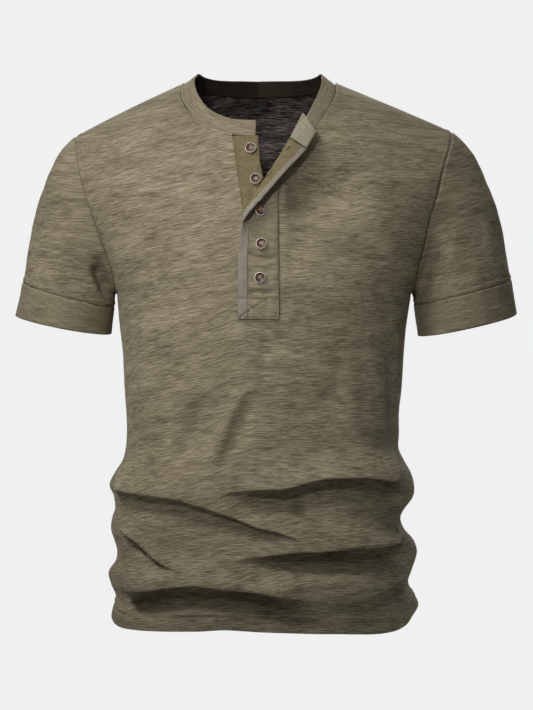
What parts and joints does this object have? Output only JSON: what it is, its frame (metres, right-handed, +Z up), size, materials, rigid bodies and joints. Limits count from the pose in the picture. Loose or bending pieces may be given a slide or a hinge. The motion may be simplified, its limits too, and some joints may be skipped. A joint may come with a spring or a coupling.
{
  "type": "henley shirt",
  "caption": "Short-sleeved henley shirt, filled out as when worn, with an open stand neckband, a buttoned placket turned open at the top, and cuffed sleeves.",
  "frame": {"origin": "midway between the two neck points of the shoulder seams, where the wearer's neck carries the shirt", "axes": "+Z up the body, the front faces -Y, and +X points to the wearer's left"},
  "size_m": [0.576, 0.2396, 0.6391],
  "materials": {
    "slub_jersey": "matte slub cotton jersey, olive khaki with fine lighter and darker streaks",
    "twill": "matte cotton twill, tan olive",
    "pale_binding": "matte pale grey-beige cotton binding",
    "button": "semi-gloss brown with a pale rim",
    "label": "matte black woven tape, bare"
  },
  "bodies": {
    "root": {"front": "slub_jersey", "back": "slub_jersey", "sleeve_right": "slub_jersey", "cuff_right": "slub_jersey", "sleeve_left": "slub_jersey", "cuff_left": "slub_jersey", "neckband": "slub_jersey", "placket_under": "twill", "placket_upper": "slub_jersey", "placket_binding": "pale_binding", "placket_facing": "twill", "button_1": "button", "button_2": "button", "button_3": "button", "button_4": "button", "button_5": "button", "size_label": "label"}
  },
  "joints": []
}
